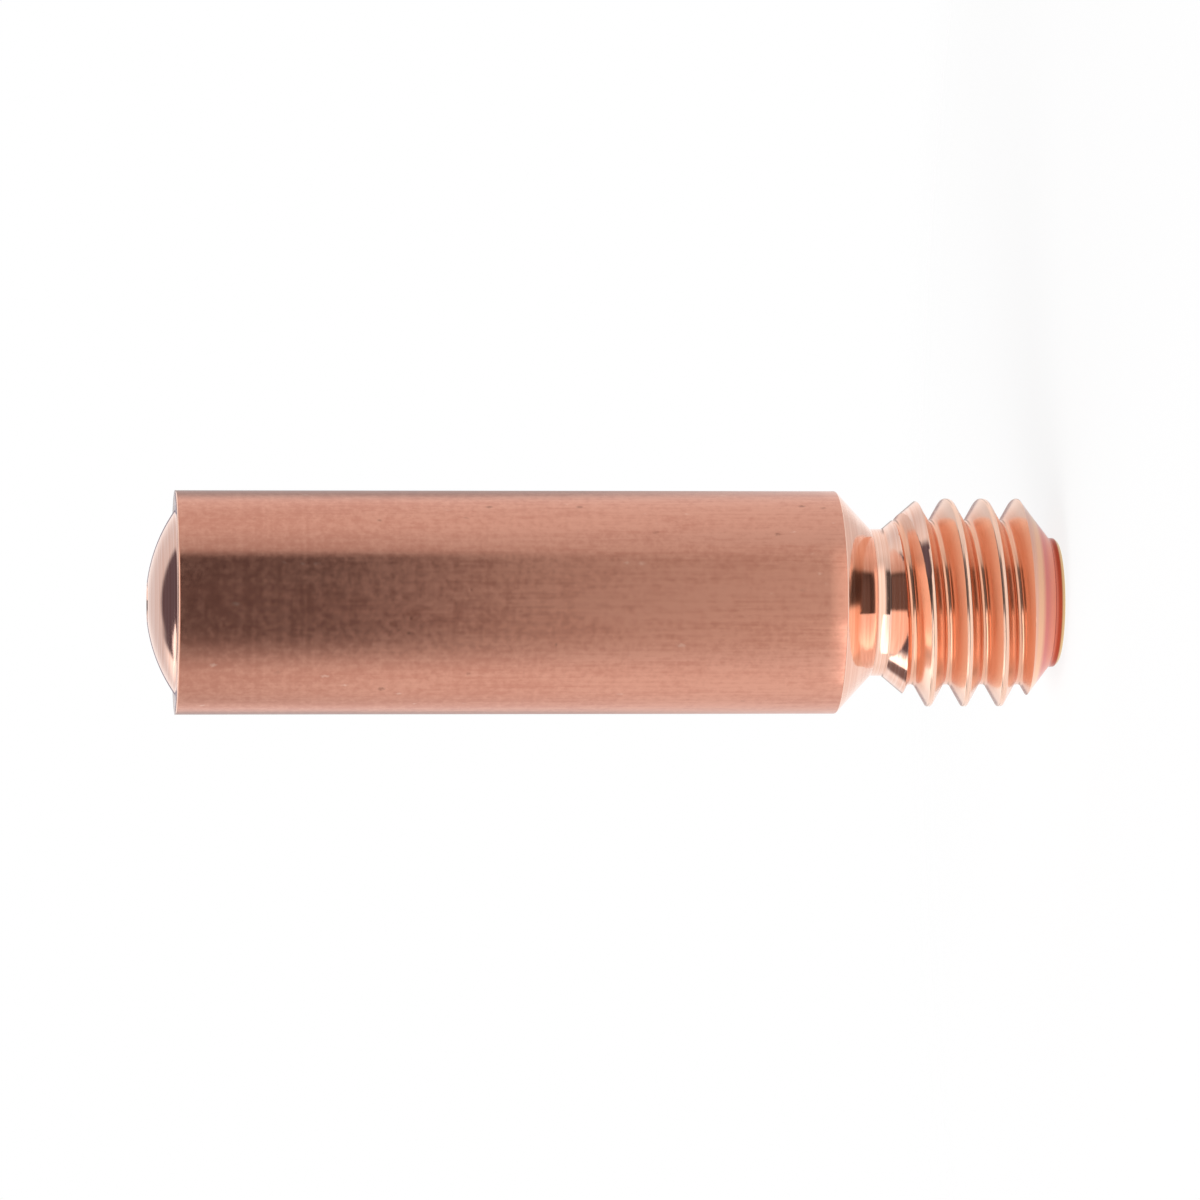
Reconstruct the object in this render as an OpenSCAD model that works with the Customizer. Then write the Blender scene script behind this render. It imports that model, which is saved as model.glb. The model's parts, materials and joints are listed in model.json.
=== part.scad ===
// Welding contact tip: one piece of turned copper with a domed nose, a through bore for the wire
// and a threaded stud. It stands on the stud's end face, with the axis along +Z and the nose up.

/* [Body] */
// Length over all, from the stud's end face to the crown of the nose
overall_l = 25.4; // [22:0.1:45]
// Diameter of the round body
body_d = 6.2; // [6:0.05:10]

/* [Nose] */
// Height of the dome above the body's front face
dome_h = 0.8; // [0.5:0.05:1.5]
// Width of the flat land between the dome's foot and the body's edge
land_w = 0.55; // [0.2:0.05:0.9]

/* [Wire passage] */
// Diameter of the bore that the wire slides through
bore_d = 1.1; // [0.7:0.05:1.8]
// Diameter of the funnel's mouth in the stud's end face
funnel_d = 2.4; // [2:0.05:3.2]
// Angle between the funnel's opposite walls
funnel_angle = 60; // [40:5:90]

/* [Stud] */
// Length from the stud's end face to the back edge of the body
stud_l = 6.25; // [5.5:0.05:9]
// Diameter of the neck between the shoulder and the thread
neck_d = 4.1; // [3.6:0.05:4.4]
// Length of the neck's straight part
neck_l = 0.35; // [0.2:0.05:1]
// Angle of the shoulder cone to the axis
shoulder_angle = 47; // [35:1:60]
// Diameter of the plain pilot at the stud's end
pilot_d = 3.6; // [3.4:0.05:4.2]
// Length of the plain pilot, with its broken edge
pilot_l = 0.25; // [0.2:0.05:0.8]
// Width of the broken edge round the stud's end face
end_break = 0.1; // [0.02:0.01:0.15]

/* [Thread] */
// Diameter over the thread's crests
thread_d = 5.8; // [5.4:0.05:6]
// Distance from one crest to the next
thread_pitch = 1; // [0.7:0.05:1.25]
// Angle between the two flanks of the groove
flank_angle = 60; // [50:1:65]
// Width of the flat left on each crest
crest_w = 0.125; // [0.08:0.005:0.2]
// Width of the flat at the bottom of the groove
root_w = 0.167; // [0.1:0.005:0.25]
// Angle to the axis of the chamfer that starts the thread
lead_in_angle = 52; // [30:1:60]
// Angle to the axis of the chamfer that ends the thread at the neck
run_out_angle = 40; // [30:1:60]
// Angle round the axis at which the groove crosses the end face
thread_clock = 140; // [0:5:355]

/* [Hidden] */

$fn = 96;

// Room by which a cutting shape passes the surface that it cuts through
cut_over = 1;

// Radii
body_r = body_d / 2;
bore_r = bore_d / 2;
funnel_r = funnel_d / 2;
neck_r = neck_d / 2;
pilot_r = pilot_d / 2;
thread_r = thread_d / 2;

// Heights above the stud's end face
lead_in_z = pilot_l + (thread_r - pilot_r) / tan(lead_in_angle);
neck_top_z = stud_l - (body_r - neck_r) / tan(shoulder_angle);
neck_bottom_z = neck_top_z - neck_l;
run_out_z = neck_bottom_z - (thread_r - neck_r) / tan(run_out_angle);
front_z = overall_l - dome_h;
funnel_h = (funnel_r - bore_r) / tan(funnel_angle / 2);

// The dome is a cap of a sphere that stands on the land's inner edge
dome_foot_r = body_r - land_w;
dome_r = (dome_foot_r * dome_foot_r + dome_h * dome_h) / (2 * dome_h);

// The thread's groove, from its flat bottom to a mouth just outside the crests
flank_slope = tan(flank_angle / 2);
groove_depth = (thread_pitch - crest_w - root_w) / (2 * flank_slope);
root_r = thread_r - groove_depth;
mouth_gap = crest_w / 3;
mouth_w = thread_pitch - mouth_gap;
mouth_r = root_r + (mouth_w - root_w) / (2 * flank_slope);
steps_per_turn = 60;
groove_start_z = -thread_pitch;
groove_end_z = (neck_bottom_z + neck_top_z) / 2;
groove_steps = ceil((groove_end_z - groove_start_z) / thread_pitch * steps_per_turn);

// Corners of the groove's section, as radius and height about its middle
groove_section = [
    [root_r, -root_w / 2],
    [root_r, root_w / 2],
    [mouth_r, mouth_w / 2],
    [mouth_r, -mouth_w / 2],
];

// One corner of the section, carried round the axis and up the right-hand helix. The half step keeps
// the groove's corners clear of the plane y = 0, where the turned surfaces close on themselves.
function helix_point(corner, step) =
    let (turns = (step + 0.5) / steps_per_turn)
    let (climb = groove_start_z + thread_pitch * turns)
    [corner[0] * cos(360 * turns), corner[0] * sin(360 * turns), climb + corner[1]];

// Half section of the turned blank, before it is drilled and threaded
module blank_profile() {
    polygon([
        [0, 0],
        [pilot_r - end_break, 0],
        [pilot_r, end_break],
        [pilot_r, pilot_l],
        [thread_r, lead_in_z],
        [thread_r, run_out_z],
        [neck_r, neck_bottom_z],
        [neck_r, neck_top_z],
        [body_r, stud_l],
        [body_r, front_z],
        [0, front_z],
    ]);
    intersection() {
        translate([0, overall_l - dome_r]) circle(r = dome_r);
        translate([0, stud_l]) square([dome_foot_r, overall_l - stud_l]);
    }
}

// Bore for the wire, with the funnel that leads the wire into it
module wire_passage() {
    rotate_extrude() polygon([
        [0, -cut_over],
        [funnel_r + cut_over * tan(funnel_angle / 2), -cut_over],
        [bore_r, funnel_h],
        [bore_r, overall_l + cut_over],
        [0, overall_l + cut_over],
    ]);
}

// Helical groove that leaves a right-hand thread on the stud
module thread_groove() {
    corners = len(groove_section);
    points = [for (step = [0 : groove_steps], corner = groove_section) helix_point(corner, step)];
    sides = [
        for (step = [0 : groove_steps - 1], side = [0 : corners - 1])
            let (here = step * corners, next = here + corners, after = (side + 1) % corners)
            each [
                [here + side, next + after, here + after],
                [here + side, next + side, next + after],
            ]
    ];
    first_end = [for (corner = [0 : corners - 1]) corner];
    last_end = [for (corner = [corners - 1 : -1 : 0]) groove_steps * corners + corner];
    polyhedron(points, concat(sides, [first_end, last_end]));
}

module contact_tip() {
    color([0.78, 0.5, 0.41]) rotate([0, 0, thread_clock]) difference() {
        rotate_extrude() blank_profile();
        thread_groove();
        wire_passage();
    }
}

contact_tip();
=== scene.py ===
"""Studio picture of a welding contact tip: one piece of turned copper that stands on its threaded stud."""

import json
import logging
import math
from collections.abc import Sequence
from dataclasses import dataclass, field
from enum import Enum

import bmesh
import bpy
from mathutils import Matrix, Vector


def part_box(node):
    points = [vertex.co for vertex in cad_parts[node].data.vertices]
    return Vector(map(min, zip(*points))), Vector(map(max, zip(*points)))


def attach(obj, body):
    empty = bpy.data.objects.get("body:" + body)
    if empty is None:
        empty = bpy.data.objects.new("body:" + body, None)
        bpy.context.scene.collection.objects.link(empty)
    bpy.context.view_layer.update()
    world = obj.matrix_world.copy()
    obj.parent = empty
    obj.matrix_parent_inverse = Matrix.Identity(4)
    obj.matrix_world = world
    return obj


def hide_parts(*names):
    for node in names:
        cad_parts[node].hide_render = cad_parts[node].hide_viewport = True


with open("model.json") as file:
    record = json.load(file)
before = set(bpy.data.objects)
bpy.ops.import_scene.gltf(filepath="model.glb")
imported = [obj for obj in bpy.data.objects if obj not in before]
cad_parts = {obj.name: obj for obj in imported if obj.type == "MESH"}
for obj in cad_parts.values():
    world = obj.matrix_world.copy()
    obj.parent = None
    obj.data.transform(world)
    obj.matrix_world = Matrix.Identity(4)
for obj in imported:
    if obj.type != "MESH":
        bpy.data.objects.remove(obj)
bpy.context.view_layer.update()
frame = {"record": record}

LOG = logging.getLogger("contact_tip")

MM = 0.001
NODE = "contact_tip"
BODY = "root"
MERGE_DIST = 0.001 * MM

Colour = tuple[float, float, float]
Span = tuple[float, float]
Socket = bpy.types.NodeSocket
Tree = bpy.types.NodeTree
Feed = float | Colour | Socket


def grey(level: float) -> Colour:
    """Gives a neutral colour of a level."""
    return (level, level, level)


class Zone(Enum):
    """The finishes on the tip, by the number of their material slot."""

    DRAWN_SKIN = 0
    TURNED_FACE = 1
    CUT_THREAD = 2
    STUD_END = 3


class Board:
    """A node tree, with short calls that place nodes on it and wire them."""

    def __init__(self, tree: Tree) -> None:
        """Takes the tree that the nodes go on."""
        self.tree = tree

    def place(self, kind: str, **settings: str | float | bool) -> bpy.types.Node:
        """Adds a node.

        Args:
            kind: Blender's name for the node's type.
            settings: Properties of the node and their values.

        Returns:
            The new node.
        """
        node = self.tree.nodes.new(kind)
        for name, value in settings.items():
            setattr(node, name, value)
        return node

    def feed(self, socket: Socket, value: Feed) -> None:
        """Gives a socket its value.

        Args:
            socket: The input to feed.
            value: A number, a colour or the output to link.
        """
        if isinstance(value, Socket):
            self.tree.links.new(value, socket)
        elif socket.type == "RGBA":
            socket.default_value = (*value, 1.0)
        else:
            socket.default_value = value

    def math(self, operation: str, *values: Feed) -> Socket:
        """Adds a Math node.

        Args:
            operation: The node's operation.
            values: What its inputs take, in order.

        Returns:
            The node's result.
        """
        node = self.place("ShaderNodeMath", operation=operation)
        for socket, value in zip(node.inputs, values):
            self.feed(socket, value)
        return node.outputs[0]

    def remap(self, value: Feed, start: float, end: float, low: float, high: float) -> Socket:
        """Carries a range of values smoothly to another range.

        Args:
            value: The value to carry.
            start: Value that becomes low.
            end: Value that becomes high.
            low: Result at start and before.
            high: Result at end and after.

        Returns:
            The carried value.
        """
        node = self.place("ShaderNodeMapRange", interpolation_type="SMOOTHSTEP")
        for name, number in zip(("From Min", "From Max", "To Min", "To Max"), (start, end, low, high)):
            node.inputs[name].default_value = number
        self.feed(node.inputs["Value"], value)
        return node.outputs["Result"]

    def mix(self, share: Feed, first: Feed, second: Feed) -> Socket:
        """Mixes two colours.

        Args:
            share: Share of the second colour.
            first: The first colour.
            second: The second colour.

        Returns:
            The mixed colour.
        """
        node = self.place("ShaderNodeMix", data_type="RGBA")
        factor, colour_a, colour_b = (s for s in node.inputs if s.enabled)
        self.feed(factor, share)
        self.feed(colour_a, first)
        self.feed(colour_b, second)
        return next(s for s in node.outputs if s.enabled)

    def noise(
        self, point: Feed, scale: Feed, detail: float = 2.0, roughness: float = 0.5, dimensions: str = "3D",
    ) -> bpy.types.Node:
        """Adds a noise texture.

        Args:
            point: Where it is read.
            scale: Its features per unit of length.
            detail: Number of its finer layers.
            roughness: Share that each finer layer keeps.
            dimensions: Blender's name for its dimensions.

        Returns:
            The texture's node.
        """
        node = self.place("ShaderNodeTexNoise", noise_dimensions=dimensions)
        node.inputs["Detail"].default_value = detail
        node.inputs["Roughness"].default_value = roughness
        self.feed(node.inputs["Scale"], scale)
        self.feed(node.inputs["Vector"], point)
        return node

    def radius(self, point: Feed) -> Socket:
        """Measures how far a point is from the axis.

        Args:
            point: The point.

        Returns:
            The distance.
        """
        flat = self.place("ShaderNodeVectorMath", operation="MULTIPLY")
        self.feed(flat.inputs[0], point)
        flat.inputs[1].default_value = (1.0, 1.0, 0.0)
        length = self.place("ShaderNodeVectorMath", operation="LENGTH")
        self.feed(length.inputs[0], flat.outputs[0])
        return length.outputs["Value"]

    def height(self, point: Feed) -> Socket:
        """Reads a point's height.

        Args:
            point: The point.

        Returns:
            The height.
        """
        split = self.place("ShaderNodeSeparateXYZ")
        self.feed(split.inputs[0], point)
        return split.outputs["Z"]

    def stretch(self, point: Feed, across: Feed, along: Feed) -> Socket:
        """Scales a point across the axis and along it.

        Args:
            point: The point.
            across: Factor for X and Y.
            along: Factor for Z.

        Returns:
            The scaled point.
        """
        factors = self.place("ShaderNodeCombineXYZ")
        for socket, factor in zip(factors.inputs, (across, across, along)):
            self.feed(socket, factor)
        scaled = self.place("ShaderNodeVectorMath", operation="MULTIPLY")
        self.feed(scaled.inputs[0], point)
        self.feed(scaled.inputs[1], factors.outputs[0])
        return scaled.outputs[0]

    def ramp(self, value: Feed, stops: Sequence[tuple[float, Colour]]) -> Socket:
        """Reads a colour from a ramp.

        Args:
            value: Where on the ramp to read, from 0 to 1.
            stops: Place and colour of each stop, in order.

        Returns:
            The colour.
        """
        node = self.place("ShaderNodeValToRGB")
        elements = node.color_ramp.elements
        elements.remove(elements[-1])
        for place, _ in stops[1:]:
            elements.new(place)
        for element, (place, colour) in zip(elements, stops):
            element.position = place
            element.color = (*colour, 1.0)
        self.feed(node.inputs[0], value)
        return node.outputs["Color"]

    def group(self, tree: Tree, **values: Feed) -> Socket:
        """Places a node group.

        Args:
            tree: The group's own tree.
            values: What its inputs take, by name, with _ for a space.

        Returns:
            The group's first output.
        """
        node = self.place("ShaderNodeGroup")
        node.node_tree = tree
        for name, value in values.items():
            self.feed(node.inputs[name.replace("_", " ").capitalize()], value)
        return node.outputs[0]


@dataclass
class CopperMarks:
    """Node groups for the marks that making leaves on copper, shared by its finishes."""

    streak_detail: float = 4.0
    streak_roughness: float = 0.65
    ring_detail: float = 3.0
    grain_detail: float = 3.0
    grain_roughness: float = 0.6
    ragged_per_mm: float = 14.0
    ragged_shift: float = 0.12
    patches_per_mm: float = 0.45
    patch_span: Span = (0.40, 0.62)
    sparsest: float = 0.15
    smallest: float = 0.35
    solid_core: float = 0.2
    streaks: Tree = field(init=False)
    rings: Tree = field(init=False)
    grain: Tree = field(init=False)
    specks: Tree = field(init=False)

    def __post_init__(self) -> None:
        """Builds each group once."""
        self.streaks = self._streaks()
        self.rings = self._rings()
        self.grain = self._grain()
        self.specks = self._specks()

    @staticmethod
    def _start(
        name: str, inputs: Sequence[str], output: str,
    ) -> tuple[Board, bpy.types.Node, bpy.types.Node]:
        """Starts a group that takes a point in millimetres.

        Args:
            name: The group's name.
            inputs: Names of the values that it takes beside the point.
            output: Name of the value that it gives.

        Returns:
            The group's board, its input node and its output node.
        """
        tree = bpy.data.node_groups.new(name, "ShaderNodeTree")
        tree.interface.new_socket("Point", in_out="INPUT", socket_type="NodeSocketVector")
        for value in inputs:
            tree.interface.new_socket(value, in_out="INPUT", socket_type="NodeSocketFloat")
        tree.interface.new_socket(output, in_out="OUTPUT", socket_type="NodeSocketFloat")
        board = Board(tree)
        return board, board.place("NodeGroupInput"), board.place("NodeGroupOutput")

    def _streaks(self) -> Tree:
        """Fine lines along the axis, as a drawing die leaves them.

        Returns:
            The group.
        """
        board, given, made = self._start("drawn streaks", ("Across", "Along"), "Height")
        scaled = board.stretch(given.outputs["Point"], given.outputs["Across"], given.outputs["Along"])
        noise = board.noise(scaled, 1.0, self.streak_detail, self.streak_roughness)
        board.feed(made.inputs["Height"], noise.outputs[0])
        return board.tree

    def _rings(self) -> Tree:
        """Fine rings round the axis, as a lathe's cutter leaves them.

        Returns:
            The group.
        """
        board, given, made = self._start("lathe rings", ("Per mm",), "Height")
        point, per_mm = given.outputs["Point"], given.outputs["Per mm"]
        flat = board.place("ShaderNodeCombineXYZ")
        board.feed(flat.inputs["X"], board.math("MULTIPLY", board.radius(point), per_mm))
        board.feed(flat.inputs["Y"], board.math("MULTIPLY", board.height(point), per_mm))
        noise = board.noise(flat.outputs[0], 1.0, self.ring_detail, dimensions="2D")
        board.feed(made.inputs["Height"], noise.outputs[0])
        return board.tree

    def _grain(self) -> Tree:
        """Even mottling, as handling and tarnish leave it.

        Returns:
            The group.
        """
        board, given, made = self._start("tarnish grain", ("Per mm",), "Height")
        point, per_mm = given.outputs["Point"], given.outputs["Per mm"]
        noise = board.noise(point, per_mm, self.grain_detail, self.grain_roughness)
        board.feed(made.inputs["Height"], noise.outputs[0])
        return board.tree

    def _specks(self) -> Tree:
        """Small pits or nicks of uneven size, scattered in clusters and drawn out along the axis.

        Returns:
            The group.
        """
        board, given, made = self._start("specks", ("Per mm", "Share", "Reach", "Along"), "Mask")
        point = given.outputs["Point"]
        ragged = board.noise(point, self.ragged_per_mm)
        shift = board.place("ShaderNodeVectorMath", operation="MULTIPLY_ADD")
        board.feed(shift.inputs[0], ragged.outputs["Color"])
        shift.inputs[1].default_value = (self.ragged_shift,) * 3
        board.feed(shift.inputs[2], point)
        cells = board.place("ShaderNodeTexVoronoi")
        board.feed(cells.inputs["Vector"], board.stretch(shift.outputs[0], 1.0, given.outputs["Along"]))
        board.feed(cells.inputs["Scale"], given.outputs["Per mm"])
        patches = board.noise(point, self.patches_per_mm)
        crowd = board.remap(patches.outputs[0], *self.patch_span, self.sparsest, 1.0)
        draws = board.place("ShaderNodeSeparateColor")
        board.feed(draws.inputs[0], cells.outputs["Color"])
        share = board.math("MULTIPLY", given.outputs["Share"], crowd)
        chosen = board.math("LESS_THAN", draws.outputs["Red"], share)
        size = board.remap(draws.outputs["Green"], 0.0, 1.0, self.smallest, 1.0)
        reach = board.math("MULTIPLY", given.outputs["Reach"], size)
        near = board.math("DIVIDE", cells.outputs["Distance"], reach)
        inside = board.remap(near, self.solid_core, 1.0, 1.0, 0.0)
        board.feed(made.inputs["Mask"], board.math("MULTIPLY", chosen, inside))
        return board.tree


@dataclass(frozen=True)
class Specks:
    """A scatter of specks: cells per millimetre, the share of them in use, reach, stretch and strength."""

    per_mm: float
    share: float
    reach: float
    along: float
    strength: float

    def mask(self, board: Board, marks: CopperMarks, point: Feed) -> Socket:
        """Places the scatter on a board and gives its mask, 1 in the middle of a speck."""
        return board.group(
            marks.specks, point=point, per_mm=self.per_mm, share=self.share, reach=self.reach,
            along=self.along,
        )


@dataclass(frozen=True)
class Copper:
    """What the copper finishes have in common."""

    name: str
    light: Colour
    deep: Colour
    roughness: float

    def start(self) -> tuple[bpy.types.Material, Board, bpy.types.Node, Socket]:
        """Starts a metal material.

        Returns:
            The material, its board, its shader and the point on the surface in millimetres.
        """
        material = bpy.data.materials.new(self.name)
        material.use_nodes = True
        board = Board(material.node_tree)
        shader = material.node_tree.nodes["Principled BSDF"]
        shader.inputs["Metallic"].default_value = 1.0
        place = board.place("ShaderNodeTexCoord")
        point = board.place("ShaderNodeVectorMath", operation="SCALE")
        point.inputs["Scale"].default_value = 1.0 / MM
        board.feed(point.inputs[0], place.outputs["Object"])
        return material, board, shader, point.outputs[0]

    @staticmethod
    def raise_bump(board: Board, shader: bpy.types.Node, height: Feed, depth: float) -> None:
        """Turns heights into a bump on the shader's normal.

        Args:
            board: The material's board.
            shader: The shader that takes the normal.
            height: Height from 0 to 1 over the surface.
            depth: What a height of 1 stands for, in metres.
        """
        bump = board.place("ShaderNodeBump")
        bump.inputs["Distance"].default_value = depth
        board.feed(bump.inputs["Height"], height)
        board.feed(shader.inputs["Normal"], bump.outputs["Normal"])


@dataclass(frozen=True)
class DrawnCopper(Copper):
    """Satin skin of drawn bar: streaks that fade towards the nose, a faint hatch, grain, pits and nicks.

    Heights are in millimetres. A field that ends in _ends has its value at the nose and at the stud.
    """

    stud_roughness: float = 0.245
    unevenness: float = 0.015
    nose_end: float = 22.0
    stud_end: float = 9.0
    streaks_across: float = 9.0
    streaks_along: float = 0.35
    streak_ends: Span = (0.15, 0.40)
    streak_bump_ends: Span = (0.2, 0.7)
    bands_across: float = 1.1
    bands_along: float = 0.16
    band_share: float = 0.30
    hatch_per_mm: float = 5.0
    hatch_ends: Span = (0.12, 0.04)
    grain_per_mm: float = 5.0
    grain_share: float = 0.40
    grain_bump: float = 0.3
    marking_span: Span = (0.25, 0.45)
    tone_span: Span = (0.38, 0.64)
    pits: Specks = Specks(per_mm=2.6, share=0.16, reach=0.26, along=0.7, strength=0.45)
    pit_colour: Colour = (0.20, 0.09, 0.06)
    nicks: Specks = Specks(per_mm=3.6, share=0.22, reach=0.30, along=0.5, strength=0.3)
    nick_colour: Colour = (0.95, 0.70, 0.58)
    bump_depth: float = 0.001 * MM

    @staticmethod
    def _between(board: Board, away: Feed, ends: Span) -> Socket:
        """Carries a value from the nose's to the stud's, by how far away from the nose it is."""
        return board.math("MULTIPLY_ADD", away, ends[1] - ends[0], ends[0])

    def material(self, marks: CopperMarks) -> bpy.types.Material:
        """Builds the material.

        Args:
            marks: The shared groups of marks.

        Returns:
            The material.
        """
        material, board, shader, point = self.start()
        away = board.remap(board.height(point), self.nose_end, self.stud_end, 0.0, 1.0)
        streaks = board.group(
            marks.streaks, point=point, across=self.streaks_across, along=self.streaks_along,
        )
        bands = board.group(marks.streaks, point=point, across=self.bands_across, along=self.bands_along)
        hatch = board.group(marks.rings, point=point, per_mm=self.hatch_per_mm)
        grain = board.group(marks.grain, point=point, per_mm=self.grain_per_mm)
        pits = self.pits.mask(board, marks, point)
        nicks = self.nicks.mask(board, marks, point)
        lines = board.math("MULTIPLY", streaks, self._between(board, away, self.streak_ends))
        scratches = board.math("MULTIPLY", hatch, self._between(board, away, self.hatch_ends))
        mottling = board.math("MULTIPLY", grain, self.grain_share)
        marking = board.math("ADD", board.math("ADD", lines, scratches), mottling)
        tone = board.math("ADD", marking, board.math("MULTIPLY", bands, self.band_share))
        skin = board.mix(board.remap(tone, *self.tone_span, 0.0, 1.0), self.deep, self.light)
        pitted = board.mix(board.math("MULTIPLY", pits, self.pits.strength), skin, self.pit_colour)
        shone = board.math("MULTIPLY", nicks, self.nicks.strength)
        board.feed(shader.inputs["Base Color"], board.mix(shone, pitted, self.nick_colour))
        dulled = self._between(board, away, (self.roughness, self.stud_roughness))
        uneven = board.remap(marking, *self.marking_span, -self.unevenness, self.unevenness)
        board.feed(shader.inputs["Roughness"], board.math("ADD", dulled, uneven))
        drawn = board.math("MULTIPLY", streaks, self._between(board, away, self.streak_bump_ends))
        rough = board.math("ADD", drawn, board.math("MULTIPLY", grain, self.grain_bump))
        self.raise_bump(board, shader, board.math("SUBTRACT", rough, pits), self.bump_depth)
        return material


@dataclass(frozen=True)
class TurnedCopper(Copper):
    """Bright face left by a lathe: fine rings and a few pits."""

    rings_per_mm: float = 14.0
    tone_span: Span = (0.3, 0.7)
    rough_span: Span = (0.2, 0.8)
    unevenness: float = 0.05
    pits: Specks = Specks(per_mm=5.0, share=0.12, reach=0.2, along=1.0, strength=0.5)
    bump_depth: float = 0.001 * MM

    def tone(self, board: Board, point: Feed, rings: Feed) -> Socket:
        """Gives the face's colour at a point, from the height of the lathe's rings."""
        return board.mix(board.remap(rings, *self.tone_span, 0.0, 1.0), self.deep, self.light)

    def material(self, marks: CopperMarks) -> bpy.types.Material:
        """Builds the material.

        Args:
            marks: The shared groups of marks.

        Returns:
            The material.
        """
        material, board, shader, point = self.start()
        rings = board.group(marks.rings, point=point, per_mm=self.rings_per_mm)
        pits = self.pits.mask(board, marks, point)
        pitted = board.math("MULTIPLY", pits, self.pits.strength)
        face = self.tone(board, point, rings)
        board.feed(shader.inputs["Base Color"], board.mix(pitted, face, self.deep))
        roughest = self.roughness + self.unevenness
        dulled = board.remap(rings, *self.rough_span, self.roughness, roughest)
        board.feed(shader.inputs["Roughness"], dulled)
        self.raise_bump(board, shader, board.math("SUBTRACT", rings, pits), self.bump_depth)
        return material


@dataclass(frozen=True)
class ThreadCopper(TurnedCopper):
    """Cut thread with a painted highlight: paler towards the crests, between two distances from the axis in
    millimetres.
    """

    crest_highlight_colour: Colour = (0.94, 0.62, 0.48)
    crest_highlight_r: Span = (2.42, 2.80)

    def tone(self, board: Board, point: Feed, rings: Feed) -> Socket:
        """Gives the thread's colour at a point, paler with its distance from the axis, a painted highlight
        on the crests.
        """
        # The paler colour towards the crests is a painted highlight.
        crest_highlight_share = board.remap(board.radius(point), *self.crest_highlight_r, 0.0, 1.0)
        return board.mix(crest_highlight_share, super().tone(board, point, rings), self.crest_highlight_colour)


@dataclass(frozen=True)
class BandPaintedCopper(TurnedCopper):
    """Turned copper with painted bands, each by its height in millimetres: painted highlights, painted
    shade and painted reflections of the stand.
    """

    painted_bands: tuple[tuple[float, Colour], ...] = ()
    fade: float = 0.12

    def tone(self, board: Board, point: Feed, rings: Feed) -> Socket:
        """Gives the face's colour with its painted bands of highlight, shade and reflection.

        Args:
            board: The material's board.
            point: The point on the surface, in millimetres.
            rings: Height of the lathe's rings.

        Returns:
            The colour.
        """
        # The ramp's bands paint light into the base colour: painted highlights, painted shade and painted
        # reflections.
        top = self.painted_bands[-1][0]
        stops = [(height / top, colour) for height, colour in self.painted_bands]
        painted_band = board.ramp(board.math("DIVIDE", board.height(point), top), stops)
        plain = board.remap(board.height(point), top - self.fade, top, 0.0, 1.0)
        return board.mix(plain, painted_band, super().tone(board, point, rings))


class Section:
    """A half section in the plane y = 0, drawn as a chain of edges with some of its corners rounded."""

    def __init__(self) -> None:
        """Starts an empty section."""
        self.mesh = bmesh.new()
        self.chain: list[bmesh.types.BMVert] = []
        self.rounds: dict[float, list[bmesh.types.BMVert]] = {}

    def to(self, radius: float, height: float, setback: float = 0.0) -> None:
        """Carries the chain on to a point.

        Args:
            radius: The point's distance from the axis.
            height: The point's height.
            setback: Distance from the corner at which its rounding starts, or 0 for a sharp corner.
        """
        corner = self.mesh.verts.new((radius, 0.0, height))
        if self.chain:
            self.mesh.edges.new((self.chain[-1], corner))
        self.chain.append(corner)
        if setback:
            self.rounds.setdefault(setback, []).append(corner)

    def round_corners(self, segments: int) -> None:
        """Rounds each corner that has a setback.

        Args:
            segments: Number of edges in each rounding.
        """
        for setback, corners in self.rounds.items():
            bmesh.ops.bevel(
                self.mesh, geom=corners, offset=setback, offset_type="OFFSET", segments=segments,
                profile=0.5, affect="VERTICES", material=-1,
            )

    def divide(self, longest: float) -> None:
        """Divides the edges that are longer than a length.

        Args:
            longest: The length that no edge is to pass.
        """
        for edge in self.mesh.edges[:]:
            cuts = math.ceil(edge.calc_length() / longest) - 1
            if cuts > 0:
                bmesh.ops.subdivide_edges(self.mesh, edges=[edge], cuts=cuts)

    def spin(self, steps: int, rise: float = 0.0) -> bmesh.types.BMesh:
        """Turns the section once round the axis.

        Args:
            steps: Number of steps in the turn.
            rise: Height that the turn climbs.

        Returns:
            The turned mesh, with the turn's ends merged.
        """
        bmesh.ops.spin(
            self.mesh, geom=self.mesh.verts[:] + self.mesh.edges[:], cent=(0.0, 0.0, 0.0),
            axis=(0.0, 0.0, 1.0), dvec=(0.0, 0.0, rise / steps), angle=math.tau, steps=steps,
            use_merge=rise == 0.0,
        )
        bmesh.ops.remove_doubles(self.mesh, verts=self.mesh.verts, dist=MERGE_DIST)
        return self.mesh


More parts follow.
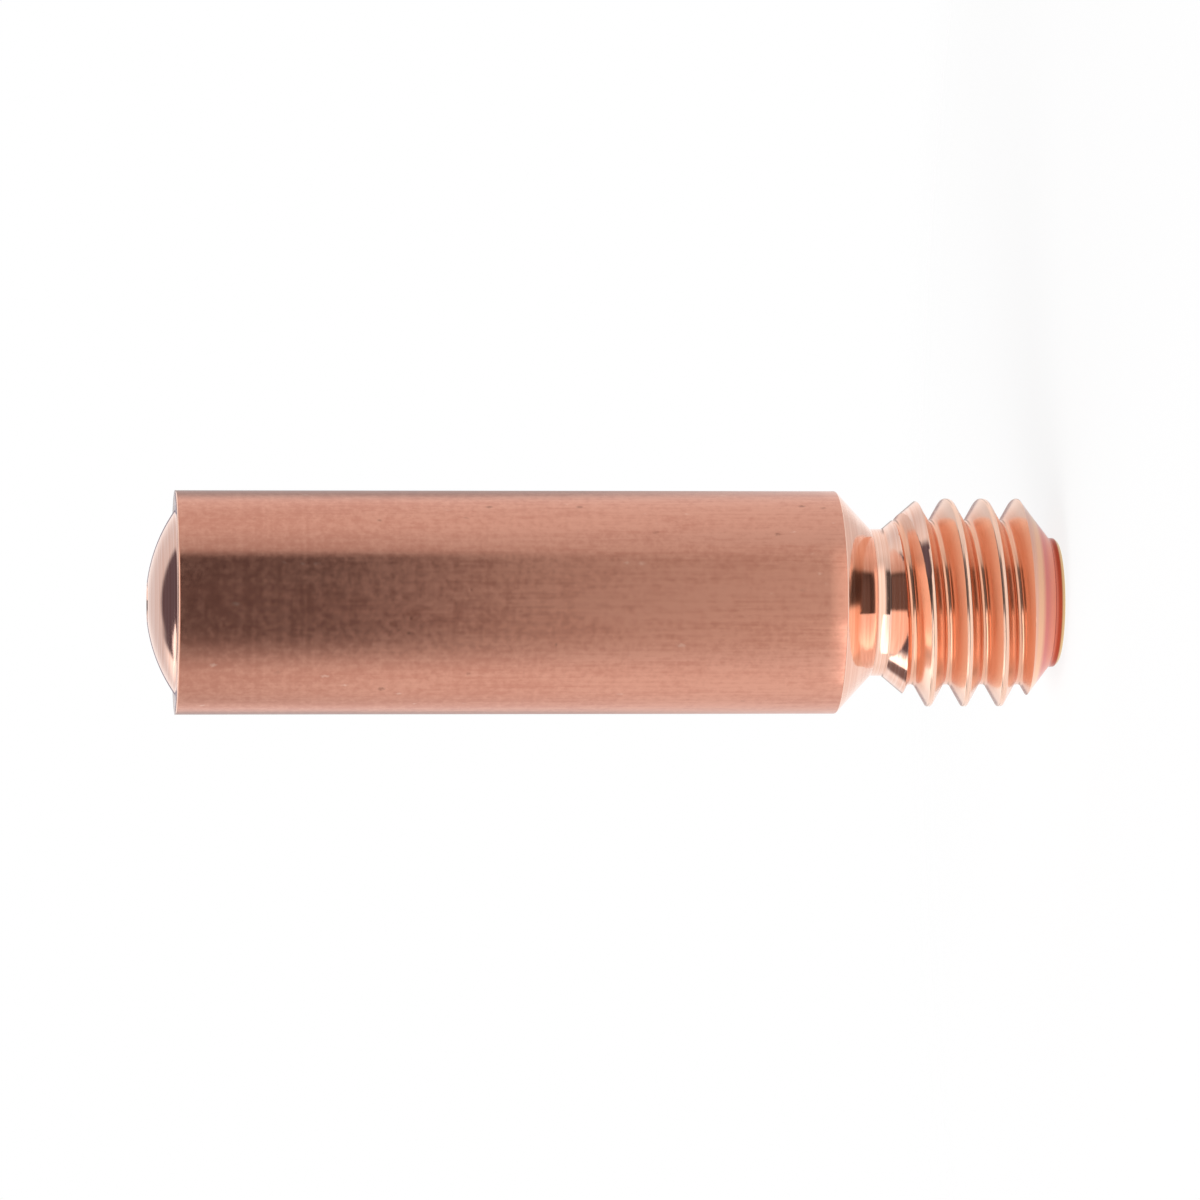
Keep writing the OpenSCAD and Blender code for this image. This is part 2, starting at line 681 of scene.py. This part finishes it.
@dataclass(frozen=True)
class Thread:
    """A right-hand thread with flat crests and roots."""

    crest_r: float
    pitch: float = 1.0 * MM
    flank_angle: float = math.radians(60.0)
    crest_w: float = 0.125 * MM
    root_w: float = 0.167 * MM
    clock: float = math.radians(140.0)
    crest_round: float = 0.03 * MM
    root_round: float = 0.06 * MM
    round_steps: int = 3
    longest_edge: float = 0.04 * MM

    @property
    def root_r(self) -> float:
        """Distance of the groove's bottom from the axis."""
        depth = (self.pitch - self.crest_w - self.root_w) / (2.0 * math.tan(self.flank_angle / 2.0))
        return self.crest_r - depth

    def spin(self, bottom: float, top: float, steps: int) -> bmesh.types.BMesh:
        """Winds the groove and the crest between two heights.

        Args:
            bottom: Height that the thread has to reach down to.
            top: Height that the thread has to reach up to.
            steps: Number of steps in a turn.

        Returns:
            The thread's skin, which runs past both heights.
        """
        section = Section()
        phase = -self.pitch * self.clock / math.tau
        # A turn climbs one pitch, so the section starts well below the bottom.
        first = math.floor((bottom - phase) / self.pitch) - 2
        last = math.ceil((top - phase) / self.pitch) + 1
        for turn in range(first, last):
            middle = phase + turn * self.pitch
            section.to(self.root_r, middle - self.root_w / 2.0, self.root_round)
            section.to(self.root_r, middle + self.root_w / 2.0, self.root_round)
            section.to(self.crest_r, middle + (self.pitch - self.crest_w) / 2.0, self.crest_round)
            section.to(self.crest_r, middle + (self.pitch + self.crest_w) / 2.0, self.crest_round)
        for end in (section.chain[0], section.chain[-1]):
            for corners in section.rounds.values():
                if end in corners:
                    corners.remove(end)
        section.round_corners(self.round_steps)
        section.divide(self.longest_edge)
        return section.spin(steps, self.pitch)


@dataclass
class ContactTip:
    """The tip: domed nose, round body, shoulder, neck and threaded stud, with a wire passage through it."""

    body_r: float
    bore_r: float
    thread: Thread
    overall_l: float = 25.4 * MM
    dome_h: float = 0.8 * MM
    land_w: float = 0.55 * MM
    funnel_r: float = 1.2 * MM
    funnel_angle: float = math.radians(60.0)
    stud_l: float = 6.25 * MM
    neck_r: float = 2.05 * MM
    neck_l: float = 0.35 * MM
    shoulder_angle: float = math.radians(47.0)
    pilot_r: float = 1.8 * MM
    pilot_l: float = 0.25 * MM
    end_break: float = 0.1 * MM
    lead_in_angle: float = math.radians(52.0)
    run_out_angle: float = math.radians(40.0)
    edge_round: float = 0.03 * MM
    corner_round: float = 0.03 * MM
    burr_h: float = 0.012 * MM
    burr_l: float = 0.03 * MM
    seam: float = 0.03 * MM
    steps: int = 128
    dome_steps: int = 24
    round_steps: int = 4
    longest_edge: float = 0.5 * MM
    sharp_angle: float = math.radians(40.0)

    @property
    def lead_in_z(self) -> float:
        """Height at which the lead-in chamfer meets the crests."""
        return self.pilot_l + (self.thread.crest_r - self.pilot_r) / math.tan(self.lead_in_angle)

    @property
    def neck_top_z(self) -> float:
        """Height at which the neck meets the shoulder."""
        return self.stud_l - (self.body_r - self.neck_r) / math.tan(self.shoulder_angle)

    @property
    def neck_bottom_z(self) -> float:
        """Height at which the neck meets the run-out chamfer."""
        return self.neck_top_z - self.neck_l

    @property
    def run_out_z(self) -> float:
        """Height at which the crests meet the run-out chamfer."""
        return self.neck_bottom_z - (self.thread.crest_r - self.neck_r) / math.tan(self.run_out_angle)

    @property
    def front_z(self) -> float:
        """Height of the land at the front of the body."""
        return self.overall_l - self.dome_h

    @property
    def band_low_z(self) -> float:
        """Height on the lead-in chamfer, below the groove, at which the threaded band starts."""
        return self.pilot_l + (self.thread.root_r - self.pilot_r) / math.tan(self.lead_in_angle) / 2.0

    @property
    def band_high_z(self) -> float:
        """Height on the run-out chamfer, above the groove, at which the threaded band ends."""
        return self.neck_bottom_z - (self.thread.root_r - self.neck_r) / math.tan(self.run_out_angle) / 2.0

    def stud_radius(self, height: float) -> float:
        """Gives the stud's radius before the thread is cut.

        Args:
            height: Height on the stud, between the pilot and the neck.

        Returns:
            The distance from the axis.
        """
        lead_in = self.pilot_r + (height - self.pilot_l) * math.tan(self.lead_in_angle)
        run_out = self.neck_r + (self.neck_bottom_z - height) * math.tan(self.run_out_angle)
        return min(self.thread.crest_r, max(lead_in, 0.0), max(run_out, 0.0))

    def _turned_skin(self) -> bmesh.types.BMesh:
        """Turns all but the thread: neck, shoulder, body, nose, passage, end face and pilot.

        Returns:
            The skin, open at the two rings where the thread joins it.
        """
        section = Section()
        start_z = self.band_high_z + self.seam
        section.to(self.stud_radius(start_z), start_z)
        section.to(self.neck_r, self.neck_bottom_z, self.corner_round)
        section.to(self.neck_r, self.neck_top_z, self.corner_round)
        section.to(self.body_r, self.stud_l, self.edge_round)
        # A narrow ring below the raised edge keeps the body's shading straight.
        section.to(self.body_r, self.front_z - 2.0 * self.burr_l)
        section.to(self.body_r, self.front_z - self.burr_l)
        section.to(self.body_r + self.burr_h, self.front_z, self.edge_round / 2.0)
        dome_foot_r = self.body_r - self.land_w
        dome_r = (dome_foot_r**2 + self.dome_h**2) / (2.0 * self.dome_h)
        section.to(dome_foot_r, self.front_z, self.edge_round)
        foot_angle = math.asin(dome_foot_r / dome_r)
        rim_angle = math.asin(self.bore_r / dome_r)
        for step in range(1, self.dome_steps):
            angle = foot_angle + (rim_angle - foot_angle) * step / self.dome_steps
            section.to(dome_r * math.sin(angle), self.overall_l - dome_r * (1.0 - math.cos(angle)))
        section.to(self.bore_r, self.overall_l - dome_r * (1.0 - math.cos(rim_angle)), self.edge_round)
        funnel_h = (self.funnel_r - self.bore_r) / math.tan(self.funnel_angle / 2.0)
        section.to(self.bore_r, funnel_h, self.corner_round)
        section.to(self.funnel_r, 0.0, self.edge_round)
        section.to(self.pilot_r - self.end_break, 0.0, self.edge_round)
        section.to(self.pilot_r, self.end_break, self.edge_round)
        section.to(self.pilot_r, self.pilot_l, self.edge_round)
        end_z = self.band_low_z - self.seam
        section.to(self.stud_radius(end_z), end_z)
        section.round_corners(self.round_steps)
        section.divide(self.longest_edge)
        skin = section.spin(self.steps)
        for face in skin.faces:
            face.material_index = self._zone(face.calc_center_median()).value
        return skin

    def _zone(self, middle: Vector) -> Zone:
        """Says which finish a turned face has.

        Args:
            middle: The face's middle.

        Returns:
            The zone that the face is in.
        """
        drawn_top = self.front_z - self.burr_l
        if self.stud_l < middle.z < drawn_top and middle.xy.length > self.body_r - self.edge_round:
            return Zone.DRAWN_SKIN
        if middle.z < self.band_low_z and middle.xy.length > self.pilot_r - self.end_break:
            return Zone.STUD_END
        return Zone.TURNED_FACE

    def _threaded_band(self) -> bmesh.types.BMesh:
        """Winds the thread and cuts it back to the stud's own outline.

        Returns:
            The band, open at its two rings.
        """
        band = self.thread.spin(self.band_low_z, self.band_high_z, self.steps)
        for height in (self.lead_in_z, self.run_out_z):
            bmesh.ops.bisect_plane(
                band, geom=band.verts[:] + band.edges[:] + band.faces[:],
                plane_co=(0.0, 0.0, height), plane_no=(0.0, 0.0, 1.0),
            )
        self._cut_to_outline(band)
        for height, outwards in ((self.band_low_z, -1.0), (self.band_high_z, 1.0)):
            bmesh.ops.bisect_plane(
                band, geom=band.verts[:] + band.edges[:] + band.faces[:],
                plane_co=(0.0, 0.0, height), plane_no=(0.0, 0.0, outwards), clear_outer=True,
            )
        for face in band.faces:
            face.material_index = self._band_zone(face.calc_center_median()).value
        return band

    def _band_zone(self, middle: Vector) -> Zone:
        """Says which finish a face of the threaded band has.

        Args:
            middle: The face's middle.

        Returns:
            The zone that the face is in.
        """
        if middle.xy.length < self.stud_radius(middle.z) - MERGE_DIST:
            return Zone.CUT_THREAD
        if middle.z < self.lead_in_z:
            return Zone.STUD_END
        return Zone.TURNED_FACE if middle.z > self.run_out_z else Zone.CUT_THREAD

    def _cut_to_outline(self, band: bmesh.types.BMesh) -> None:
        """Cuts the thread back to the stud's outline, with an edge along each cut.

        Args:
            band: The thread's skin.
        """
        over = {vert: vert.co.xy.length - self.stud_radius(vert.co.z) for vert in band.verts}
        crossings = []
        for edge in band.edges[:]:
            start, end = (over[vert] for vert in edge.verts)
            if start * end < 0.0 and min(abs(start), abs(end)) > MERGE_DIST:
                crossings.append(bmesh.utils.edge_split(edge, edge.verts[0], start / (start - end))[1])
        bmesh.ops.connect_verts(band, verts=crossings)
        for vert in band.verts:
            radius = vert.co.xy.length
            vert.co.xy *= min(radius, self.stud_radius(vert.co.z)) / radius

    def _close(self, skin: bmesh.types.BMesh) -> None:
        """Bridges the rings between the turned skin and the threaded band, and turns the faces outwards.

        Args:
            skin: The mesh that holds both.
        """
        rims = [edge for edge in skin.edges if edge.is_boundary]
        half_way = (self.band_low_z + self.band_high_z) / 2.0
        for rim in (
            [edge for edge in rims if edge.verts[0].co.z < half_way],
            [edge for edge in rims if edge.verts[0].co.z > half_way],
        ):
            made = bmesh.ops.bridge_loops(skin, edges=rim)
            for face in made["faces"]:
                low_ring = face.calc_center_median().z < half_way
                face.material_index = (Zone.STUD_END if low_ring else Zone.TURNED_FACE).value
        bmesh.ops.recalc_face_normals(skin, faces=skin.faces)

    def build(self, finishes: dict[Zone, bpy.types.Material]) -> bpy.types.Object:
        """Models the tip and dresses it.

        Args:
            finishes: The material of each zone.

        Returns:
            The tip's object, at the origin.
        """
        mesh = bpy.data.meshes.new("turned_tip")
        band = self._threaded_band()
        band.to_mesh(mesh)
        band.free()
        skin = self._turned_skin()
        skin.from_mesh(mesh)
        self._close(skin)
        open_edges = sum(not edge.is_manifold for edge in skin.edges)
        LOG.info("turned_tip: %d faces, %d open edges", len(skin.faces), open_edges)
        skin.to_mesh(mesh)
        skin.free()
        for zone in Zone:
            mesh.materials.append(finishes[zone])
        mesh.shade_smooth()
        mesh.set_sharp_from_angle(angle=self.sharp_angle)
        tip = bpy.data.objects.new("turned_tip", mesh)
        bpy.context.collection.objects.link(tip)
        normals = tip.modifiers.new("even flats", "WEIGHTED_NORMAL")
        normals.keep_sharp = True
        return tip


@dataclass(frozen=True)
class Panel:
    """A part of the surround: a window of directions in degrees, with soft edges.

    It reaches round from the camera's side, positive towards +X, and up from the floor.
    """

    colour: Colour
    around: Span
    up: Span
    around_soft: Span = (4.0, 4.0)
    up_soft: Span = (3.0, 3.0)
    both_sides: bool = False

    def mask(self, board: Board, azimuth: Feed, elevation: Feed) -> Socket:
        """Builds the window's mask.

        Args:
            board: The world's board.
            azimuth: Angle round the axis from the camera's side, positive towards +X.
            elevation: Angle above the floor.

        Returns:
            The mask, 1 inside the window.
        """
        side = board.math("ABSOLUTE", azimuth) if self.both_sides else azimuth
        edges = (
            (side, self.around[0], self.around_soft[0], 0.0),
            (side, self.around[1], self.around_soft[1], 1.0),
            (elevation, self.up[0], self.up_soft[0], 0.0),
            (elevation, self.up[1], self.up_soft[1], 1.0),
        )
        inside = 1.0
        for angle, edge, soft, before in edges:
            step = board.remap(angle, edge - soft, edge + soft, before, 1.0 - before)
            inside = board.math("MULTIPLY", inside, step)
        return inside


@dataclass
class Studio:
    """A small white stand in a soft surround of panels that is dark towards the camera and overhead.

    The tip mirrors the stand no further out than mirrored_r.
    """

    foot_r: float
    stand_r: float = 34.0 * MM
    stand_steps: int = 96
    fade_w: float = 10.0 * MM
    mirrored_r: float = 14.0 * MM
    stand_albedo: float = 0.9
    shadow_share: float = 0.15
    mirror_share: float = 0.45
    walls: Colour = grey(0.92)
    panels: tuple[Panel, ...] = ()

    def build_stand(self) -> bpy.types.Object:
        """Makes the stand's top, the floor of the picture, with a hole where the tip's foot covers it.

        Returns:
            The floor's object.
        """
        section = Section()
        section.to(self.foot_r, 0.0)
        section.to(self.stand_r, 0.0)
        disc = section.spin(self.stand_steps)
        disc.normal_update()
        bmesh.ops.reverse_faces(disc, faces=[face for face in disc.faces if face.normal.z < 0.0])
        mesh = bpy.data.meshes.new("floor")
        disc.to_mesh(mesh)
        disc.free()
        mesh.materials.append(self._stand_material())
        floor = bpy.data.objects.new("floor", mesh)
        bpy.context.collection.objects.link(floor)
        return floor

    def _stand_material(self) -> bpy.types.Material:
        """Makes the stand's white, which keeps a soft shadow, fades out at the rim and is clear from below.

        Returns:
            The material.
        """
        material = bpy.data.materials.new("white stand")
        material.use_nodes = True
        tree = material.node_tree
        tree.nodes.clear()
        board = Board(tree)
        place = board.place("ShaderNodeTexCoord")
        length = board.place("ShaderNodeVectorMath", operation="LENGTH")
        board.feed(length.inputs[0], place.outputs["Object"])
        path = board.place("ShaderNodeLightPath")
        far = length.outputs["Value"]
        rim = board.remap(far, self.stand_r - self.fade_w, self.stand_r, 0.0, 1.0)
        mirrored_rim = board.remap(far, self.mirrored_r / 2.0, self.mirrored_r, 0.0, 1.0)
        unmirrored = board.math("MULTIPLY", mirrored_rim, path.outputs["Is Glossy Ray"])
        under = board.place("ShaderNodeNewGeometry").outputs["Backfacing"]
        below = board.math("MULTIPLY", under, path.outputs["Is Camera Ray"])
        unseen = board.math("MAXIMUM", board.math("MAXIMUM", rim, unmirrored), below)
        paint = board.place("ShaderNodeBsdfDiffuse")
        board.feed(paint.inputs["Color"], grey(self.stand_albedo))
        glow = board.place("ShaderNodeEmission")
        white = board.place("ShaderNodeMixShader")
        seen = board.math("MULTIPLY", path.outputs["Is Camera Ray"], 1.0 - self.shadow_share)
        mirrored = board.math("MULTIPLY", path.outputs["Is Glossy Ray"], self.mirror_share)
        board.feed(white.inputs[0], board.math("ADD", seen, mirrored))
        board.feed(white.inputs[1], paint.outputs[0])
        board.feed(white.inputs[2], glow.outputs[0])
        clear = board.place("ShaderNodeBsdfTransparent")
        faded = board.place("ShaderNodeMixShader")
        board.feed(faded.inputs[0], unseen)
        board.feed(faded.inputs[1], white.outputs[0])
        board.feed(faded.inputs[2], clear.outputs[0])
        board.feed(board.place("ShaderNodeOutputMaterial").inputs["Surface"], faded.outputs[0])
        return material

    def build_surround(self) -> None:
        """Makes the world: white to the camera, and a soft tent with a dark opening to all else."""
        world = bpy.data.worlds.new("soft surround")
        bpy.context.scene.world = world
        world.use_nodes = True
        world.node_tree.nodes.clear()
        board = Board(world.node_tree)
        split = board.place("ShaderNodeSeparateXYZ")
        board.feed(split.inputs[0], board.place("ShaderNodeTexCoord").outputs["Generated"])
        towards = board.math("MULTIPLY", split.outputs["Y"], -1.0)
        azimuth = board.math("DEGREES", board.math("ARCTAN2", split.outputs["X"], towards))
        elevation = board.math("DEGREES", board.math("ARCSINE", split.outputs["Z"]))
        colour = self.walls
        for panel in self.panels:
            colour = board.mix(panel.mask(board, azimuth, elevation), colour, panel.colour)
        tent = board.place("ShaderNodeBackground")
        board.feed(tent.inputs["Color"], colour)
        white = board.place("ShaderNodeBackground")
        board.feed(white.inputs["Color"], grey(1.0))
        both = board.place("ShaderNodeMixShader")
        board.feed(both.inputs[0], board.place("ShaderNodeLightPath").outputs["Is Camera Ray"])
        board.feed(both.inputs[1], tent.outputs[0])
        board.feed(both.inputs[2], white.outputs[0])
        board.feed(board.place("ShaderNodeOutputWorld").inputs["Surface"], both.outputs[0])


@dataclass(frozen=True)
class SoftBox:
    """A soft lamp that faces a point on the tip's axis, its first size lying along a given direction."""

    name: str
    direction: tuple[float, float, float]
    distance: float
    size: Span
    radiance: float
    aim_z: float = 12.7 * MM
    mirrored: bool = True
    along: tuple[float, float, float] = (1.0, 0.0, 0.0)

    def build(self) -> bpy.types.Object:
        """Hangs the lamp.

        Returns:
            The lamp's object.
        """
        lamp = bpy.data.lights.new(self.name, "AREA")
        lamp.shape = "RECTANGLE"
        lamp.size, lamp.size_y = self.size
        lamp.energy = self.radiance * math.pi * lamp.size * lamp.size_y
        holder = bpy.data.objects.new(self.name, lamp)
        back = Vector(self.direction).normalized()
        holder.location = Vector((0.0, 0.0, self.aim_z)) + back * self.distance
        across = back.cross(Vector(self.along)).normalized()
        turn = Matrix((across.cross(back), across, back)).transposed()
        holder.rotation_euler = turn.to_euler()
        holder.visible_glossy = self.mirrored
        bpy.context.collection.objects.link(holder)
        return holder


@dataclass(frozen=True)
class ProductCamera:
    """A long lens that looks at the standing tip from in front, turned so that the nose points left."""

    aim: tuple[float, float, float] = (0.068 * MM, 0.0, 12.8 * MM)
    above: float = math.radians(5.4)
    lens_angle: float = math.radians(9.8)
    view_w: float = 33.333 * MM
    nearest: float = 10.0 * MM

    def build(self) -> bpy.types.Object:
        """Sets the camera up and makes it the scene's own.

        Returns:
            The camera's object.
        """
        data = bpy.data.cameras.new("camera")
        data.angle = self.lens_angle
        data.clip_start = self.nearest
        camera = bpy.data.objects.new("camera", data)
        back = Vector((0.0, -math.cos(self.above), math.sin(self.above)))
        up = Vector((1.0, 0.0, 0.0))
        turn = Matrix((up.cross(back), up, back)).transposed()
        camera.rotation_euler = turn.to_euler()
        camera.location = Vector(self.aim) + back * self.view_w / 2.0 / math.tan(self.lens_angle / 2.0)
        bpy.context.collection.objects.link(camera)
        bpy.context.scene.camera = camera
        return camera


SKIN = DrawnCopper(
    "drawn copper", light=(0.71, 0.345, 0.25), deep=(0.60, 0.26, 0.185), roughness=0.16,
)
FACE = TurnedCopper(
    "turned copper", light=(0.95, 0.64, 0.52), deep=(0.86, 0.50, 0.38), roughness=0.06,
    bump_depth=0.0006 * MM,
)
CUT = ThreadCopper(
    "cut thread copper", light=(0.87, 0.475, 0.335), deep=(0.84, 0.42, 0.275), roughness=0.17,
    bump_depth=0.0003 * MM,
)
# Painted light on the stud's end: a painted highlight on the end break, painted shade on the pilot, painted
# reflections on the lead-in and a painted highlight at its top.
PAINTED_HIGHLIGHT_YELLOW = (0.95, 0.70, 0.38)
PAINTED_SHADE_RED = (0.50, 0.085, 0.045)
PAINTED_REFLECTION_SALMON = (1.0, 0.38, 0.28)
PAINTED_REFLECTION_MAUVE = (0.84, 0.30, 0.27)
PAINTED_HIGHLIGHT_PALE = (1.0, 0.64, 0.41)
END = BandPaintedCopper(
    "stud end copper", light=(0.95, 0.62, 0.48), deep=(0.86, 0.50, 0.38), roughness=0.12,
    painted_bands=(
        (0.0, PAINTED_HIGHLIGHT_YELLOW), (0.07, PAINTED_HIGHLIGHT_YELLOW), (0.12, PAINTED_SHADE_RED), (0.19, PAINTED_SHADE_RED), (0.30, PAINTED_REFLECTION_SALMON), (0.42, PAINTED_REFLECTION_SALMON),
        (0.55, PAINTED_REFLECTION_MAUVE), (0.61, PAINTED_REFLECTION_MAUVE), (0.74, PAINTED_HIGHLIGHT_PALE), (0.95, PAINTED_HIGHLIGHT_PALE),
    ),
)
# A window that ends past the back, or past the top, has no edge there.
PAST_BACK = 200.0
PAST_TOP = 100.0
DARK_CEILING = (0.130, 0.105, 0.130)
# Behind the tip.
BACK_LOW = Panel(
    grey(1.05), around=(120.0, PAST_BACK), up=(-PAST_TOP, 22.0),
    around_soft=(20.0, 4.0), up_soft=(3.0, 12.0), both_sides=True,
)
BACK_HIGH = Panel(
    (0.76, 0.78, 0.82), around=(120.0, PAST_BACK), up=(22.0, PAST_TOP),
    around_soft=(20.0, 4.0), up_soft=(12.0, 3.0), both_sides=True,
)
BACK_SLOT = Panel(
    (0.62, 0.60, 0.60), around=(152.0, PAST_BACK), up=(-6.5, 1.5),
    around_soft=(9.0, 4.0), up_soft=(0.5, 1.5), both_sides=True,
)
BACK_SLOT_SIDE = Panel(
    (0.52, 0.51, 0.51), around=(139.0, PAST_BACK), up=(-6.5, 1.5),
    around_soft=(12.0, 4.0), up_soft=(0.5, 1.5),
)
LAND_GAP = Panel(
    (0.20, 0.17, 0.24), around=(168.0, PAST_BACK), up=(2.6, 9.0),
    around_soft=(5.0, 4.0), up_soft=(1.2, 2.5), both_sides=True,
)
# On the key's side, which is -X.
RIM_LIGHT = Panel(
    grey(1.4), around=(-160.0, -142.0), up=(20.0, 47.0),
    around_soft=(6.0, 8.0), up_soft=(6.0, 3.0),
)
NOTCH = Panel((0.22, 0.17, 0.17), around=(-142.0, -120.0), up=(25.0, 42.0), around_soft=(5.0, 5.0))
SIDE_LEVEL = Panel(
    grey(0.75), around=(-130.0, -40.0), up=(-4.0, 4.0),
    around_soft=(12.0, 8.0), up_soft=(1.5, 2.0),
)
SIDE_LOW = Panel(
    grey(1.08), around=(-118.0, -46.0), up=(-30.0, -3.6),
    around_soft=(12.0, 10.0), up_soft=(5.0, 1.2),
)
# On the other side.
OTHER_SIDE = Panel(grey(0.67), around=(20.0, 70.0), up=(-PAST_TOP, PAST_TOP), around_soft=(4.0, 22.0))
# Below the camera, overhead and round the camera.
LOW_FRONT = Panel(
    (1.25, 1.19, 1.13), around=(-50.0, 58.0), up=(-40.0, -6.8),
    around_soft=(12.0, 15.0), up_soft=(3.0, 0.6),
)
OVERHEAD = Panel(DARK_CEILING, around=(-PAST_BACK, PAST_BACK), up=(49.0, PAST_TOP))
OVERHEAD_SIDE = Panel(DARK_CEILING, around=(-166.0, -120.0), up=(44.5, PAST_TOP), around_soft=(6.0, 4.0))
OPENING = Panel(
    (0.080, 0.077, 0.080), around=(-55.0, 51.5), up=(-6.3, PAST_TOP),
    around_soft=(30.0, 6.0), up_soft=(1.0, 3.0),
)
FRONT_GLOW = Panel(
    (0.18, 0.172, 0.178), around=(-40.0, 46.0), up=(0.3, 30.0),
    around_soft=(10.0, 6.0), up_soft=(1.0, 5.0),
)
KEY = Panel((1.35, 1.33, 1.30), around=(-100.0, -14.0), up=(8.0, 46.0), around_soft=(8.0, 4.0))
# A later panel covers an earlier one.
PANELS = (
    BACK_LOW, BACK_HIGH, RIM_LIGHT, NOTCH, SIDE_LEVEL, SIDE_LOW, BACK_SLOT, BACK_SLOT_SIDE, LAND_GAP,
    OTHER_SIDE, LOW_FRONT, OVERHEAD, OVERHEAD_SIDE, OPENING, FRONT_GLOW, KEY,
)
LAMPS = (
    SoftBox(
        "overhead softbox", direction=(-0.5, -0.45, 1.0), distance=260.0 * MM,
        size=(160.0 * MM, 160.0 * MM), radiance=5.0, mirrored=False,
    ),
    SoftBox(
        "side softbox", direction=(-0.445, 0.268, 1.0), distance=240.0 * MM,
        size=(225.0 * MM, 136.0 * MM), radiance=1.5, along=(-0.627, 0.779, 0.0),
    ),
    SoftBox(
        "low strip lamp", direction=(-0.74, -0.67, 0.0), distance=8.0 * MM,
        size=(9.6 * MM, 1.1 * MM), radiance=1.25, aim_z=4.45 * MM, along=(0.67, -0.74, 0.0),
    ),
)


def mount_radius(name: str) -> float:
    """Reads a mount's radius, in metres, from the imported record."""
    mount = next(m for m in frame["record"]["mounts"] if m["name"] == name)
    return mount["dims"]["r_mm"] * MM


def to_hundredth(length: float) -> float:
    """Takes a measure of the faceted frame to the nearest 0.01 mm, where its true size lies."""
    return round(length / MM, 2) * MM


def main() -> None:
    """Builds the tip and the studio."""
    logging.basicConfig(level=logging.INFO, format="%(name)s: %(message)s")
    bpy.context.scene.view_settings.view_transform = "Standard"
    marks = CopperMarks()
    finishes = {
        Zone.DRAWN_SKIN: SKIN.material(marks),
        Zone.TURNED_FACE: FACE.material(marks),
        Zone.CUT_THREAD: CUT.material(marks),
        Zone.STUD_END: END.material(marks),
    }
    low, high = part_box(NODE)
    tip = ContactTip(
        body_r=to_hundredth((high.x - low.x) / 2.0),
        bore_r=mount_radius("wire_bore"),
        thread=Thread(mount_radius("thread_stud")),
    )
    piece = tip.build(finishes)
    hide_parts(NODE)
    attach(piece, BODY)
    studio = Studio(foot_r=tip.pilot_r - tip.end_break, panels=PANELS)
    floor = studio.build_stand()
    LOG.info("floor: white stand of %.0f mm radius", studio.stand_r / MM)
    studio.build_surround()
    LOG.info("surround: %d panels", len(studio.panels))
    for lamp in LAMPS:
        LOG.info("lamp: %s", lamp.build().name)
    LOG.info("camera: %s", ProductCamera().build().name)


if __name__ == "__main__":
    main()
